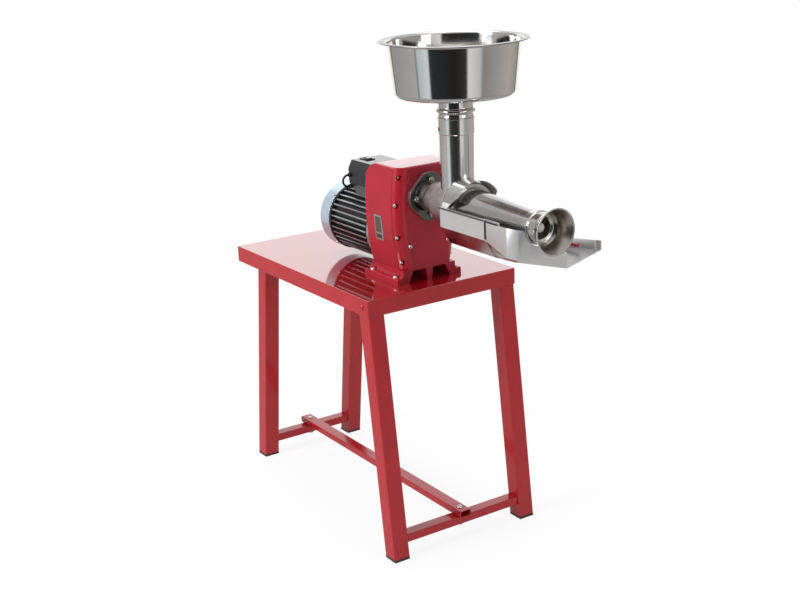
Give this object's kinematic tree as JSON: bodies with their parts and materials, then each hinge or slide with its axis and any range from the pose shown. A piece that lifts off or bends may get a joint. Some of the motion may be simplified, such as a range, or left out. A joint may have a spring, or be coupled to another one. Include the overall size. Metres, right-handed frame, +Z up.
{
  "type": "electric tomato strainer",
  "caption": "Gear motor on a splayed-leg steel table drives an auger inside a sieve cone, with a feed hopper above, a juice tray below and a waste outlet bell in front",
  "frame": {"origin": "on the floor, under the middle of the bounding box", "axes": "+X from the motor towards the waste outlet, +Y to the left of someone facing the outlet from the motor, +Z up"},
  "size_m": [1.072, 0.409, 1.1425],
  "materials": {
    "table_paint": "gloss red powder paint",
    "case_paint": "gloss crimson paint on a casting",
    "stainless": "polished stainless sheet",
    "satin_cast": "satin cast metal",
    "tinned": "bright tinned metal",
    "zinc": "zinc-plated sheet",
    "bright_steel": "bright plated steel",
    "gear_steel": "machined steel",
    "motor_grey": "bare die-cast fins",
    "lamination": "stacked steel sheet",
    "copper": "enamelled copper wire",
    "black_plastic": "black moulded plastic",
    "gloss_black": "glossy black moulded plastic",
    "white_plastic": "off-white food plastic",
    "black_rubber": "moulded rubber",
    "red_plastic": "red plastic cap"
  },
  "bodies": {
    "stand": {"table_top": "table_paint", "front_near_leg": "table_paint", "front_far_leg": "table_paint", "rear_near_leg": "table_paint", "rear_far_leg": "table_paint", "front_near_cap": "black_plastic", "front_far_cap": "black_plastic", "rear_near_cap": "black_plastic", "rear_far_cap": "black_plastic", "rear_cross_rail": "table_paint", "front_stretcher": "table_paint", "rear_stretcher": "table_paint", "long_stretcher": "table_paint", "frame_screws": "bright_steel", "frame_nuts": "bright_steel", "gearbox_housing": "case_paint", "gearbox_cover": "case_paint", "cover_gasket": "black_rubber", "cover_screws": "bright_steel", "foot_bolts": "bright_steel", "side_plate": "bright_steel", "gearbox_bearings": "bright_steel", "shaft_seals": "black_rubber", "motor_bearings": "bright_steel", "stator_core": "lamination", "stator_windings": "copper", "motor_housing": "motor_grey", "drive_end_shield": "motor_grey", "rear_end_shield": "black_plastic", "fan_cowl": "zinc", "cowl_screws": "bright_steel", "terminal_base": "black_plastic", "switch_box": "black_plastic", "switch_lid": "gloss_black", "run_capacitor": "white_plastic", "motor_lead": "black_rubber", "lead_glands": "black_plastic", "strainer_body": "satin_cast", "flange_studs": "bright_steel", "flange_nuts": "bright_steel", "feed_tube": "stainless", "juice_trough": "stainless"},
    "drive": {"output_shaft": "gear_steel", "output_wheel": "gear_steel", "auger": "white_plastic"},
    "idler": {"idler_shaft": "gear_steel", "idler_wheel": "gear_steel"},
    "rotor": {"rotor_shaft": "gear_steel", "rotor_core": "lamination", "cooling_fan": "black_plastic"},
    "rocker": {"switch_rocker": "gloss_black"},
    "bowl": {"hopper": "stainless"},
    "hood": {"splash_hood": "stainless"},
    "sieve": {"sieve_cone": "stainless"},
    "ring": {"clamp_ring": "tinned"},
    "bell": {"waste_bell": "stainless", "outlet_ring": "white_plastic"},
    "chute": {"juice_chute": "stainless", "chute_peg": "red_plastic"}
  },
  "joints": [
    {"name": "output_spin", "type": "hinge", "parent": "stand", "child": "drive", "pos_m": [0, 0, 0.792], "axis": [1, 0, 0], "continuous": true},
    {"name": "idler_spin", "type": "hinge", "parent": "stand", "child": "idler", "pos_m": [0, 0, 0.742], "axis": [1, 0, 0], "continuous": true},
    {"name": "rotor_spin", "type": "hinge", "parent": "stand", "child": "rotor", "pos_m": [0, 0, 0.694], "axis": [1, 0, 0], "continuous": true},
    {"name": "switch_tilt", "type": "hinge", "parent": "stand", "child": "rocker", "pos_m": [-0.133, -0.01, 0.8392], "axis": [0, 1, 0], "range_deg": [0, 18]},
    {"name": "hopper_lift", "type": "slide", "parent": "stand", "child": "bowl", "axis": [0, 0, 1], "range_m": [0, 0.06]},
    {"name": "hood_lift", "type": "slide", "parent": "stand", "child": "hood", "axis": [0, 0, 1], "range_m": [0, 0.05]},
    {"name": "cone_pull", "type": "slide", "parent": "stand", "child": "sieve", "axis": [1, 0, 0], "range_m": [0, 0.1]},
    {"name": "ring_slide", "type": "slide", "parent": "sieve", "child": "ring", "axis": [1, 0, 0], "range_m": [0, 0.05]},
    {"name": "bell_pull", "type": "slide", "parent": "sieve", "child": "bell", "axis": [1, 0, 0], "range_m": [0, 0.06]},
    {"name": "chute_drop", "type": "slide", "parent": "stand", "child": "chute", "axis": [0, 0, -1], "range_m": [0, 0.08]}
  ],
  "couplings": [
    {"joint": "idler_spin", "follows": "output_spin", "ratio": -2.8462},
    {"joint": "rotor_spin", "follows": "output_spin", "ratio": 10.165}
  ]
}
